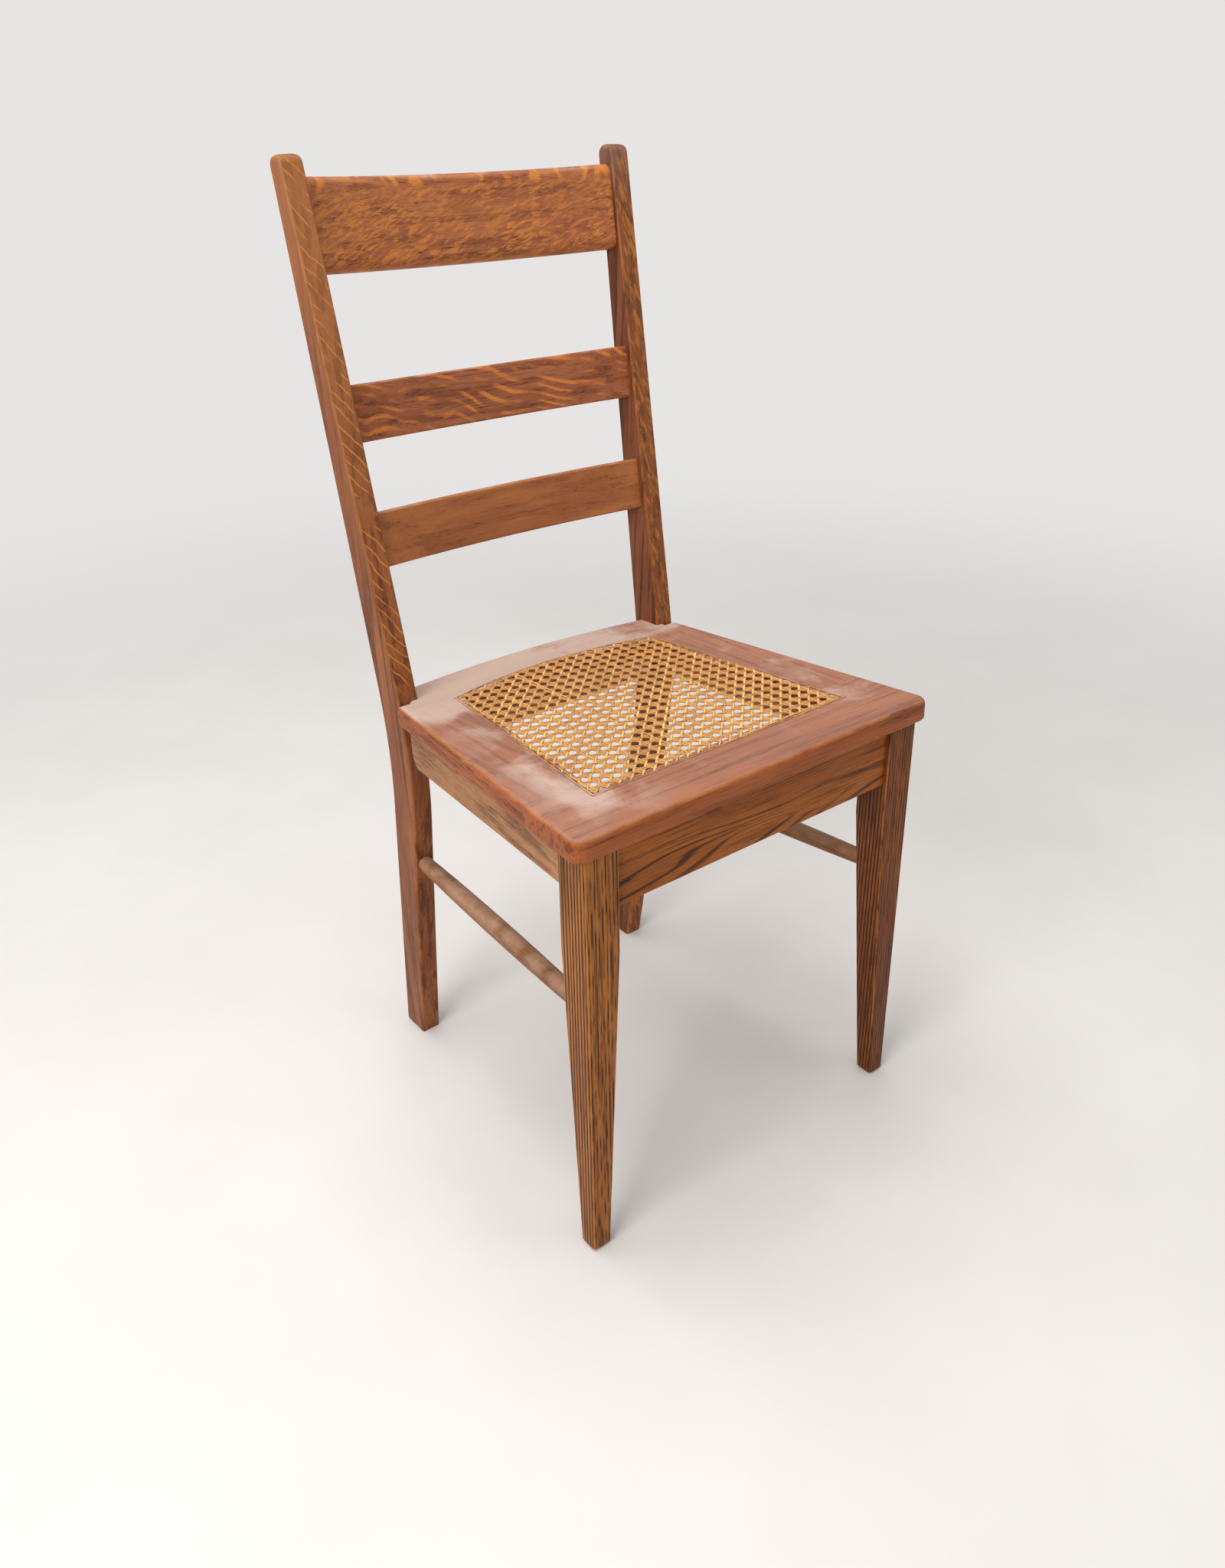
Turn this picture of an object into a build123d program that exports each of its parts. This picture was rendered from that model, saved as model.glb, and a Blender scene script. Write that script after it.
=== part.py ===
from build123d import *
import os
from math import atan, cos, radians, sin, sqrt, tan

# A dining chair with a flat cane seat: two sabre back posts with a bent crest rail and two bent slats,
# a seat frame of four boards, two square tapered front legs and a turned stretcher on each side.
# Lengths are in millimetres and angles in degrees. Distances back are taken from the front edge of the seat.

# Seat frame
seat_height = 450.0
seat_depth = 337.0
seat_front_width = 426.0
seat_back_width = 357.0
seat_slope = 2.15
board_thickness = 22.0
front_board_depth = 83.0
seat_tongue = 31.0
seat_back_bow = 15.0
seat_corner_radius = 13.0
seat_top_radius = 6.0
seat_bottom_radius = 4.0

# Cane panel, its groove and the splines that wedge it
panel_front = 55.0
panel_depth = 261.0
panel_front_width = 306.0
panel_back_width = 252.0
panel_bow = 18.0
groove_width = 3.6
groove_depth = 6.0
ledge_width = 4.5
cane_thickness = 1.2
cane_turn_down = 4.5
cane_pitch = 15.2
cane_hole = 8.0
spline_crown = 0.8
spline_radius = 0.9
spline_bevel = 0.6

# Back posts
post_height = 927.0
post_thickness = 22.0
post_gap = 308.5
post_splay = 1.78
post_foot_depth = 35.0
post_knee_depth = 42.0
post_top_depth = 21.5
post_knee_height = 378.0
post_knee_radius = 480.0
post_rake = 10.76
post_sweep = 8.4
post_top_radius = 9.5
post_shoulder_radius = 6.0
post_arris = 1.5

# Crest rail and slats, bent to one radius
back_bend_radius = 760.0
crest_level = 830.0
crest_height = 82.0
crest_thickness = 18.0
crest_setback = 5.5
crest_top_radius = 10.0
crest_bottom_radius = 10.0
crest_back_bevel = 3.0
upper_slat_level = 683.0
lower_slat_level = 567.0
slat_height = 52.5
slat_thickness = 9.5
slat_setback = 8.0
slat_arris = 1.5

# Front legs
leg_inset = 13.0
leg_setback = 6.0
leg_width = 36.0
leg_foot_width = 19.5
leg_taper_height = 325.0
leg_arris = 1.5
leg_foot_bevel = 3.0

# Aprons under the seat boards
front_apron_setback = 4.5
front_apron_height = 61.0
apron_thickness = 19.0
side_apron_height = 36.0
side_apron_inset = 3.0
side_apron_end = 21.0
side_apron_end_radius = 14.0
back_apron_height = 40.0
back_apron_setback = 7.0
apron_edge_radius = 1.5

# Turned side stretchers
stretcher_front_height = 262.0
stretcher_back_height = 246.0
stretcher_end_radius = 8.0
stretcher_middle_radius = 9.8

# Joinery
fit = 0.1
tenon_depth = 14.0
tenon_shoulder = 5.0
tenon_thickness = 8.0
slat_tenon_thickness = 6.0
socket_depth = 12.0
dowel_radius = 4.0
dowel_flat_count = 12
dowel_length = 40.0
dowel_spacing = 28.0
block_length = 38.0
block_height = 26.0

slope = radians(seat_slope)
splay = radians(post_splay)
rake = radians(post_rake)
sweep = radians(post_sweep)

# Outline of the post in side view, as distance back and height
post_seat_level = seat_height - seat_depth * tan(slope)
knee_front = seat_depth - (post_seat_level - post_knee_height) * tan(rake)
top_front = seat_depth + (post_height - post_seat_level) * tan(rake)
foot_front = knee_front + post_knee_height * tan(sweep)
knee_back = knee_front + post_knee_depth
top_back = top_front + post_top_depth
foot_back = foot_front + post_foot_depth

# The origin is under the middle of the whole depth, from the lower front edge of the seat to the bent crest
post_base = post_gap / 2 - seat_height * tan(splay)
crest_half = post_base + crest_level * tan(splay)
crest_bow = back_bend_radius - sqrt(back_bend_radius**2 - crest_half**2)
crest_front = seat_depth + (crest_level - post_seat_level) * tan(rake)
crest_back = (crest_setback + crest_bow + crest_thickness) * cos(rake)
rear_reach = crest_front + crest_back + (crest_height - crest_back_bevel) * sin(rake)
front_reach = -(board_thickness - seat_bottom_radius) * sin(slope)
middle = (front_reach + rear_reach) / 2

# Sketch planes: the seat's top, the side view, and the inner faces of the two posts
seat_plane = Plane(origin=(0, -middle, seat_height), x_dir=(1, 0, 0), z_dir=(0, sin(slope), cos(slope)))
under_seat_plane = seat_plane.offset(-board_thickness)
side_plane = Plane(origin=(0, -middle, 0), x_dir=(0, 1, 0), z_dir=(1, 0, 0))
right_post_plane = Plane(
    origin=(post_base, -middle, 0), x_dir=(0, 1, 0), z_dir=(cos(splay), 0, -sin(splay))
)
left_post_plane = Plane(
    origin=(-post_base, -middle, 0), x_dir=(0, 1, 0), z_dir=(-cos(splay), 0, -sin(splay))
)

leg_outer = seat_front_width / 2 - leg_inset
leg_inner = leg_outer - leg_width
leg_back = leg_setback + leg_width
front_apron_front = leg_setback + front_apron_setback
panel_back = panel_front + panel_depth
panel_lean = atan((panel_front_width - panel_back_width) / 2 / panel_depth)
opening_inset = groove_width + ledge_width
spline_width = groove_width - cane_thickness
back_joint = panel_back - opening_inset


def seat_half(back):
    """Half the width of the seat at a distance back."""
    return (seat_front_width - (seat_front_width - seat_back_width) * back / seat_depth) / 2


def panel_half(back, inset):
    """Half the width of the cane panel's outline, drawn in by an inset."""
    width = panel_front_width - 2 * (back - panel_front) * tan(panel_lean)
    return width / 2 - inset / cos(panel_lean)


def panel_corners(inset):
    """Right front and right back corners of the cane panel's outline, drawn in by an inset."""
    front = panel_front + inset
    back = panel_back - inset
    return [(panel_half(front, inset), front), (panel_half(back, inset), back)]


def panel_reach(side, inset):
    """Distance back of the cane panel's arched back edge, drawn in by an inset, at a distance to one side."""
    half, back = panel_corners(inset)[1]
    radius = (half**2 + panel_bow**2) / (2 * panel_bow)
    return back + panel_bow - radius + sqrt(radius**2 - side**2)


def panel_face(inset, mode=Mode.ADD):
    """Adds the cane panel's outline, drawn in by an inset, to the open sketch."""
    (front_half, front), (back_half, back) = panel_corners(inset)
    with BuildLine() as outline:
        Polyline((-back_half, back), (-front_half, front), (front_half, front), (back_half, back))
        ThreePointArc((back_half, back), (0, back + panel_bow), (-back_half, back))
    make_face(outline.edges(), mode=mode)


def under_seat(back):
    """Height of the underside of the seat boards at a distance back."""
    return seat_height - back * tan(slope) - board_thickness / cos(slope)


def leg_taper(height):
    """How much the front leg has lost on its inner and back faces at a height."""
    return (leg_width - leg_foot_width) * (leg_taper_height - height) / leg_taper_height


def trim_at_posts(reach):
    """Cuts the open part off at both posts, a reach beyond their inner faces."""
    split(bisect_by=right_post_plane.offset(reach), keep=Keep.BOTTOM)
    split(bisect_by=left_post_plane.offset(reach), keep=Keep.BOTTOM)


def bend_bar(level, height, thickness, setback):
    """Adds a bar bent in plan, square to the raked back, running past both posts."""
    back = seat_depth + (level - post_seat_level) * tan(rake)
    plane = Plane(origin=(0, back - middle, level), x_dir=(1, 0, 0), z_dir=(0, sin(rake), cos(rake)))
    half = post_base + level * tan(splay)
    end = half + post_thickness
    end_back = setback + sqrt(back_bend_radius**2 - end**2) - sqrt(back_bend_radius**2 - half**2)
    middle_back = setback + back_bend_radius - sqrt(back_bend_radius**2 - half**2)
    with BuildSketch(plane) as section:
        with BuildLine():
            ThreePointArc((-end, end_back), (0, middle_back), (end, end_back))
            Line((end, end_back), (end, end_back + thickness))
            ThreePointArc((end, end_back + thickness), (0, middle_back + thickness), (-end, end_back + thickness))
            Line((-end, end_back + thickness), (-end, end_back))
        make_face()
    extrude(section.sketch, amount=height)


def bent_tenons(level, height, thickness, setback, tongue, clearance):
    """A bent tongue through a rail, which stands out of both its ends as tenons."""
    with BuildPart() as tongues:
        bend_bar(
            level + tenon_shoulder - clearance,
            height - 2 * tenon_shoulder + 2 * clearance,
            tongue + 2 * clearance,
            setback + (thickness - tongue) / 2 - clearance,
        )
        trim_at_posts(tenon_depth + clearance)
    return tongues.part


def front_tenons(clearance):
    """The tongue of the front apron, which stands out of both its ends as tenons."""
    height = front_apron_height - 2 * tenon_shoulder + 2 * clearance
    top = under_seat(leg_back) - tenon_shoulder + clearance
    with BuildPart() as tongues:
        with BuildSketch(side_plane):
            with Locations((front_apron_front + apron_thickness / 2, top - height / 2)):
                Rectangle(tenon_thickness + 2 * clearance, height)
        extrude(amount=leg_inner + tenon_depth + clearance, both=True)
    return tongues.part


def back_tenons(clearance):
    """The tongue of the back apron, which stands out of both its ends as tenons."""
    height = back_apron_height - 2 * tenon_shoulder + 2 * clearance
    centre = seat_depth + back_apron_setback + apron_thickness / 2
    top = under_seat(centre) - tenon_shoulder + clearance
    with BuildPart() as tongues:
        with BuildSketch(side_plane):
            with Locations((centre, top - height / 2)):
                Rectangle(tenon_thickness + 2 * clearance, height)
        extrude(amount=post_gap, both=True)
        trim_at_posts(tenon_depth + clearance)
    return tongues.part


# Where the outer face of the side apron runs, from the back of the front leg to its free end
apron_end = seat_depth - side_apron_end
apron_end_outer = seat_half(apron_end) - side_apron_inset
apron_slant = (leg_outer - apron_end_outer) / (apron_end - leg_back)


def apron_face(back):
    """Distance of the side apron's outer face from the middle of the chair."""
    return leg_outer - (back - leg_back) * apron_slant


def side_tenon(clearance):
    """The tongue of the right apron, which stands out of its front end as a tenon."""
    front = leg_back - tenon_depth - clearance
    back = leg_back + tenon_depth
    reach = (apron_thickness + tenon_thickness) / 2 + clearance
    side = (apron_thickness - tenon_thickness) / 2 - clearance
    with BuildPart() as tongue:
        with BuildSketch(under_seat_plane.offset(clearance - tenon_shoulder)):
            Polygon(
                (apron_face(front) - side, front),
                (apron_face(back) - side, back),
                (apron_face(back) - reach, back),
                (apron_face(front) - reach, front),
                align=None,
            )
        extrude(amount=-(side_apron_height - 2 * tenon_shoulder + 2 * clearance))
    return tongue.part


# The right stretcher's ends, in the middle of the leg's back face and of the post's front face
stretcher_start = Vector(
    leg_outer - (leg_width - leg_taper(stretcher_front_height)) / 2,
    leg_back - leg_taper(stretcher_front_height) - middle,
    stretcher_front_height,
)
stretcher_stop = Vector(
    post_base + stretcher_back_height * tan(splay) + post_thickness / 2,
    knee_front + (post_knee_height - stretcher_back_height) * tan(sweep) - middle,
    stretcher_back_height,
)
stretcher_way = (stretcher_stop - stretcher_start).normalized()
stretcher_length = (stretcher_stop - stretcher_start).length
stretcher_plane = Plane(
    origin=stretcher_start, x_dir=stretcher_way, z_dir=stretcher_way.cross(Vector(0, 0, 1))
)

with BuildPart() as stretcher_sockets:
    with BuildSketch(Plane(origin=stretcher_start, z_dir=stretcher_way).offset(-socket_depth - fit)):
        Circle(stretcher_end_radius + fit)
    extrude(amount=stretcher_length + 2 * socket_depth + 2 * fit)

# Tongues of the rails, at their own size for the tenons and with the fit added for the mortises
crest_joint = (crest_level, crest_height, crest_thickness, crest_setback, tenon_thickness)
upper_slat_joint = (upper_slat_level, slat_height, slat_thickness, slat_setback, slat_tenon_thickness)
lower_slat_joint = (lower_slat_level, slat_height, slat_thickness, slat_setback, slat_tenon_thickness)
crest_tenons = bent_tenons(*crest_joint, 0)
upper_slat_tenons = bent_tenons(*upper_slat_joint, 0)
lower_slat_tenons = bent_tenons(*lower_slat_joint, 0)
front_apron_tenons = front_tenons(0)
right_apron_tenon = side_tenon(0)
back_apron_tenons = back_tenons(0)
bent_mortises = [bent_tenons(*joint, fit) for joint in (crest_joint, upper_slat_joint, lower_slat_joint)]
post_mortises = [*bent_mortises, back_tenons(fit), stretcher_sockets.part]
leg_mortises = [front_tenons(fit), side_tenon(fit), stretcher_sockets.part]

# Back posts: a side profile with rounded tops, sawn flat at the floor
with BuildPart() as right_back_post:
    with BuildSketch(right_post_plane) as post_profile:
        with BuildLine():
            FilletPolyline((foot_front, 0), (knee_front, post_knee_height), (top_front, post_height),
                           radius=post_knee_radius)
            Line((top_front, post_height), (top_back, post_height))
            FilletPolyline((top_back, post_height), (knee_back, post_knee_height), (foot_back, 0),
                           radius=post_knee_radius)
            Line((foot_back, 0), (foot_front, 0))
        make_face()
        fillet(post_profile.vertices().group_by(Axis.Y)[-1], post_top_radius)
    extrude(amount=post_thickness)
    split(bisect_by=Plane.XY, keep=Keep.TOP)
    post_arrises = right_back_post.faces().filter_by(right_post_plane).edges()
    post_foot_edges = right_back_post.faces().sort_by(Axis.Z)[0].edges()
    chamfer(post_arrises + post_foot_edges.filter_by(Axis.X), post_arris)
    front_view = Plane(
        origin=right_post_plane.origin, x_dir=right_post_plane.z_dir, z_dir=(0, -1, 0)
    )
    with BuildSketch(front_view) as post_front:
        Rectangle(post_thickness, post_height, align=(Align.MIN, Align.MIN))
        fillet(post_front.vertices().group_by(Axis.Y)[-1], post_shoulder_radius)
    extrude(amount=-rear_reach, mode=Mode.INTERSECT)
    add(post_mortises, mode=Mode.SUBTRACT)

with BuildPart() as left_back_post:
    mirror(right_back_post.part, about=Plane.YZ)

# Crest rail and slats, shouldered against the posts
with BuildPart() as crest_rail:
    bend_bar(crest_level, crest_height, crest_thickness, crest_setback)
    crest_arcs = crest_rail.edges().filter_by(GeomType.CIRCLE).sort_by(Axis.Z)
    crest_bottom = crest_arcs[:2].sort_by(Axis.Y)
    crest_top = crest_arcs[2:].sort_by(Axis.Y)
    fillet(crest_top[0], crest_top_radius)
    fillet(crest_bottom[0], crest_bottom_radius)
    chamfer([crest_top[1], crest_bottom[1]], crest_back_bevel)
    trim_at_posts(0)
    add(crest_tenons)

with BuildPart() as upper_slat:
    bend_bar(upper_slat_level, slat_height, slat_thickness, slat_setback)
    chamfer(upper_slat.edges().filter_by(GeomType.CIRCLE), slat_arris)
    trim_at_posts(0)
    add(upper_slat_tenons)

with BuildPart() as lower_slat:
    bend_bar(lower_slat_level, slat_height, slat_thickness, slat_setback)
    chamfer(lower_slat.edges().filter_by(GeomType.CIRCLE), slat_arris)
    trim_at_posts(0)
    add(lower_slat_tenons)

# Front legs: plumb on the outside and front, tapered on the inside and back
with BuildPart() as right_front_leg:
    foot_centre = (leg_outer - leg_foot_width / 2, leg_setback + leg_foot_width / 2 - middle)
    leg_centre = (leg_outer - leg_width / 2, leg_setback + leg_width / 2 - middle)
    leg_levels = (
        (0, foot_centre, leg_foot_width - 2 * leg_foot_bevel),
        (leg_foot_bevel, foot_centre, leg_foot_width),
        (leg_taper_height, leg_centre, leg_width),
    )
    for level, centre, width in leg_levels:
        with BuildSketch(Plane.XY.offset(level)) as leg_section:
            with Locations(centre):
                Rectangle(width, width)
            chamfer(leg_section.vertices(), leg_arris)
    loft(ruled=True)
    extrude(leg_section.sketch, amount=seat_height - leg_taper_height)
    split(bisect_by=under_seat_plane, keep=Keep.BOTTOM)
    add(leg_mortises, mode=Mode.SUBTRACT)

with BuildPart() as left_front_leg:
    mirror(right_front_leg.part, about=Plane.YZ)

# Aprons
with BuildPart() as front_apron:
    front_apron_back = front_apron_front + apron_thickness
    front_apron_bottom = under_seat(leg_setback) - front_apron_height
    with BuildSketch(side_plane):
        Polygon(
            (front_apron_front, front_apron_bottom),
            (front_apron_back, front_apron_bottom),
            (front_apron_back, under_seat(front_apron_back)),
            (front_apron_front, under_seat(front_apron_front)),
            align=None,
        )
    extrude(amount=leg_inner, both=True)
    fillet(front_apron.edges().filter_by(Axis.X).group_by(Axis.Z)[0], apron_edge_radius)
    add(front_apron_tenons)

with BuildPart() as right_apron:
    with BuildSketch(under_seat_plane):
        Polygon(
            (apron_face(leg_back), leg_back),
            (apron_end_outer, apron_end),
            (apron_end_outer - apron_thickness, apron_end),
            (apron_face(leg_back) - apron_thickness, leg_back),
            align=None,
        )
    extrude(amount=-side_apron_height)
    free_end = right_apron.faces().sort_by(Axis.Y)[-1]
    fillet(free_end.edges().sort_by(Axis.Z)[0], side_apron_end_radius)
    add(right_front_leg.part, mode=Mode.SUBTRACT)
    add(right_apron_tenon)

with BuildPart() as left_apron:
    mirror(right_apron.part, about=Plane.YZ)

with BuildPart() as back_apron:
    back_apron_front = seat_depth + back_apron_setback
    back_apron_back = back_apron_front + apron_thickness
    back_apron_bottom = under_seat(back_apron_front) - back_apron_height
    with BuildSketch(side_plane):
        Polygon(
            (back_apron_front, back_apron_bottom),
            (back_apron_back, back_apron_bottom),
            (back_apron_back, under_seat(back_apron_back)),
            (back_apron_front, under_seat(back_apron_front)),
            align=None,
        )
    extrude(amount=post_gap, both=True)
    fillet(back_apron.edges().filter_by(Axis.X).group_by(Axis.Z)[0], apron_edge_radius)
    trim_at_posts(0)
    add(back_apron_tenons)

# Turned stretchers, swelling to the middle
with BuildPart() as right_stretcher:
    with BuildSketch(stretcher_plane):
        with BuildLine():
            Polyline(
                (0, stretcher_end_radius),
                (-socket_depth, stretcher_end_radius),
                (-socket_depth, 0),
                (stretcher_length + socket_depth, 0),
                (stretcher_length + socket_depth, stretcher_end_radius),
                (stretcher_length, stretcher_end_radius),
            )
            ThreePointArc(
                (stretcher_length, stretcher_end_radius),
                (stretcher_length / 2, stretcher_middle_radius),
                (0, stretcher_end_radius),
            )
        make_face()
    revolve(axis=Axis(stretcher_plane.origin, stretcher_plane.x_dir))

with BuildPart() as left_stretcher:
    mirror(right_stretcher.part, about=Plane.YZ)

# Seat blank: the outline of the whole seat with its rounded edges, before it is divided into boards
post_middle = post_gap / 2 + post_thickness / 2
tongue_back = seat_depth + seat_tongue
with BuildPart() as seat_blank:
    with BuildSketch(seat_plane):
        with BuildLine():
            Polyline(
                (-post_middle, tongue_back),
                (-post_middle, seat_depth),
                (-seat_half(seat_depth), seat_depth),
                (-seat_half(0), 0),
                (seat_half(0), 0),
                (seat_half(seat_depth), seat_depth),
                (post_middle, seat_depth),
                (post_middle, tongue_back),
            )
            ThreePointArc((post_middle, tongue_back), (0, tongue_back + seat_back_bow), (-post_middle, tongue_back))
        make_face()
    extrude(amount=-board_thickness)
    upright_edges = seat_blank.edges().filter_by(Axis(seat_plane.origin, seat_plane.z_dir))
    fillet(upright_edges.group_by(Axis.Y)[0], seat_corner_radius)
    seat_faces = seat_blank.faces().filter_by(seat_plane).sort_by(Axis.Z)
    fillet(seat_faces[-1].edges(), seat_top_radius)
    seat_faces = seat_blank.faces().filter_by(seat_plane).sort_by(Axis.Z)
    fillet(seat_faces[0].edges(), seat_bottom_radius)


def seat_dowel_pins(clearance):
    """Dowels across the joints of the seat boards, two to a joint."""
    with BuildPart() as pins:
        for joint in (front_board_depth, back_joint):
            centre = (seat_half(joint) + panel_half(joint, opening_inset)) / 2
            places = [centre - dowel_spacing / 2, centre + dowel_spacing / 2]
            origin = seat_plane.from_local_coords((0, joint, -board_thickness / 2))
            with BuildSketch(Plane(origin=origin, x_dir=(1, 0, 0), z_dir=seat_plane.y_dir)):
                with Locations([(side * place, 0) for side in (-1, 1) for place in places]):
                    RegularPolygon(dowel_radius + clearance, dowel_flat_count)
            extrude(amount=dowel_length / 2 + clearance, both=True)
    return pins.part


def saw_board(front, back, left, right):
    """Adds a board sawn from the seat blank, with the cane opening, its groove and the dowel holes cut."""
    add(seat_blank.part)
    with BuildSketch(seat_plane) as board:
        Polygon((left, front), (right, front), (right, back), (left, back), align=None)
    extrude(board.sketch, amount=-board_thickness, mode=Mode.INTERSECT)
    with BuildSketch(seat_plane) as opening:
        panel_face(opening_inset)
    extrude(opening.sketch, amount=-board_thickness, mode=Mode.SUBTRACT)
    with BuildSketch(seat_plane) as groove:
        panel_face(0)
        panel_face(groove_width, Mode.SUBTRACT)
    extrude(groove.sketch, amount=-groove_depth, mode=Mode.SUBTRACT)
    add(dowel_holes, mode=Mode.SUBTRACT)


dowel_pins = seat_dowel_pins(0)
dowel_holes = seat_dowel_pins(fit)

with BuildPart() as seat_front_board:
    saw_board(-seat_corner_radius, front_board_depth, -seat_front_width, seat_front_width)

with BuildPart() as seat_right_board:
    saw_board(front_board_depth, back_joint, 0, seat_front_width)

with BuildPart() as seat_left_board:
    mirror(seat_right_board.part, about=Plane.YZ)

with BuildPart() as seat_back_board:
    saw_board(back_joint, tongue_back + seat_back_bow, -seat_front_width, seat_front_width)
    add(right_back_post.part, mode=Mode.SUBTRACT)
    add(left_back_post.part, mode=Mode.SUBTRACT)

with BuildPart() as seat_dowels:
    add(dowel_pins)

# Corner blocks under the seat, fitted round the front legs between the aprons
with BuildPart() as right_corner_block:
    apron_inner = apron_face(leg_back) - apron_thickness
    block_end = leg_back + block_length
    with BuildSketch(Plane(origin=(0, -middle, seat_height))):
        Polygon(
            (leg_inner - block_length, front_apron_back),
            (leg_inner, front_apron_back),
            (leg_inner, leg_back),
            (apron_inner, leg_back),
            (apron_face(block_end) - apron_thickness, block_end),
            align=None,
        )
    extrude(amount=under_seat(block_end) - block_height - seat_height)
    split(bisect_by=under_seat_plane, keep=Keep.BOTTOM)
    add(right_apron.part, mode=Mode.SUBTRACT)

with BuildPart() as left_corner_block:
    mirror(right_corner_block.part, about=Plane.YZ)

# Cane sheet: an open mesh over the opening, its edge turned down into the groove
mesh_front = panel_front + opening_inset
mesh_depth = panel_depth + panel_bow - 2 * opening_inset
mesh_rows = int(mesh_depth / cane_pitch)
mesh_places = []
for row in range(mesh_rows):
    row_back = mesh_front + mesh_depth / 2 + (row - (mesh_rows - 1) / 2) * cane_pitch
    row_end = row_back + cane_pitch / 2
    row_holes = int(2 * panel_half(row_end, opening_inset) / cane_pitch)
    for hole in range(row_holes):
        hole_side = (hole - (row_holes - 1) / 2) * cane_pitch
        if row_end <= panel_reach(abs(hole_side) + cane_pitch / 2, opening_inset):
            mesh_places.append((hole_side, row_back))

with BuildPart() as cane_panel:
    with BuildSketch(seat_plane):
        panel_face(spline_width)
        with Locations(mesh_places):
            Rectangle(cane_hole, cane_hole, mode=Mode.SUBTRACT)
    extrude(amount=cane_thickness)
    with BuildSketch(seat_plane):
        panel_face(spline_width)
        panel_face(groove_width, Mode.SUBTRACT)
    extrude(amount=-cane_turn_down)


def spline_strip(outer, inner):
    """Adds one reed spline, mitred at both ends, with its top rounded over."""
    with BuildSketch(seat_plane.offset(-groove_depth)) as strip:
        Polygon(*outer, *inner, align=None)
    extrude(strip.sketch, amount=groove_depth + spline_crown)


outer_front, outer_back = panel_corners(0)
inner_front, inner_back = panel_corners(spline_width)
left_outer_front, left_inner_front = (-outer_front[0], outer_front[1]), (-inner_front[0], inner_front[1])
left_outer_back, left_inner_back = (-outer_back[0], outer_back[1]), (-inner_back[0], inner_back[1])

with BuildPart() as front_spline:
    spline_strip((left_outer_front, outer_front), (inner_front, left_inner_front))
    crown = front_spline.faces().filter_by(seat_plane).sort_by(Axis.Z)[-1]
    fillet(crown.edges().filter_by(Axis.X), spline_radius)

with BuildPart() as back_spline:
    with BuildSketch(seat_plane.offset(-groove_depth)):
        with BuildLine():
            ThreePointArc(outer_back, (0, outer_back[1] + panel_bow), left_outer_back)
            Line(left_outer_back, left_inner_back)
            ThreePointArc(left_inner_back, (0, inner_back[1] + panel_bow), inner_back)
            Line(inner_back, outer_back)
        make_face()
    extrude(amount=groove_depth + spline_crown)
    crown = back_spline.faces().filter_by(seat_plane).sort_by(Axis.Z)[-1]
    chamfer(crown.edges().sort_by(SortBy.LENGTH)[-2:], spline_bevel)

with BuildPart() as right_spline:
    spline_strip((outer_front, outer_back), (inner_back, inner_front))
    crown = right_spline.faces().filter_by(seat_plane).sort_by(Axis.Z)[-1]
    fillet(crown.edges().sort_by(SortBy.LENGTH)[-2:], spline_radius)

with BuildPart() as left_spline:
    mirror(right_spline.part, about=Plane.YZ)

chair_pieces = {
    "left_back_post": left_back_post,
    "right_back_post": right_back_post,
    "crest_rail": crest_rail,
    "upper_slat": upper_slat,
    "lower_slat": lower_slat,
    "left_front_leg": left_front_leg,
    "right_front_leg": right_front_leg,
    "front_apron": front_apron,
    "left_apron": left_apron,
    "right_apron": right_apron,
    "back_apron": back_apron,
    "left_stretcher": left_stretcher,
    "right_stretcher": right_stretcher,
    "seat_front_board": seat_front_board,
    "seat_left_board": seat_left_board,
    "seat_right_board": seat_right_board,
    "seat_back_board": seat_back_board,
    "seat_dowels": seat_dowels,
    "left_corner_block": left_corner_block,
    "right_corner_block": right_corner_block,
    "cane_panel": cane_panel,
    "front_spline": front_spline,
    "back_spline": back_spline,
    "left_spline": left_spline,
    "right_spline": right_spline,
}

os.makedirs("parts", exist_ok=True)
for name, piece in chair_pieces.items():
    piece.part.label = name
    export_step(piece.part, f"parts/{name}.step")
print(f"{len(chair_pieces)} pieces, {len(mesh_places)} gaps in the cane")
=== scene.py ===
from math import asin, cos, floor, hypot, pi, radians, sin

import bmesh
import bpy
from mathutils import Matrix, Vector


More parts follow.
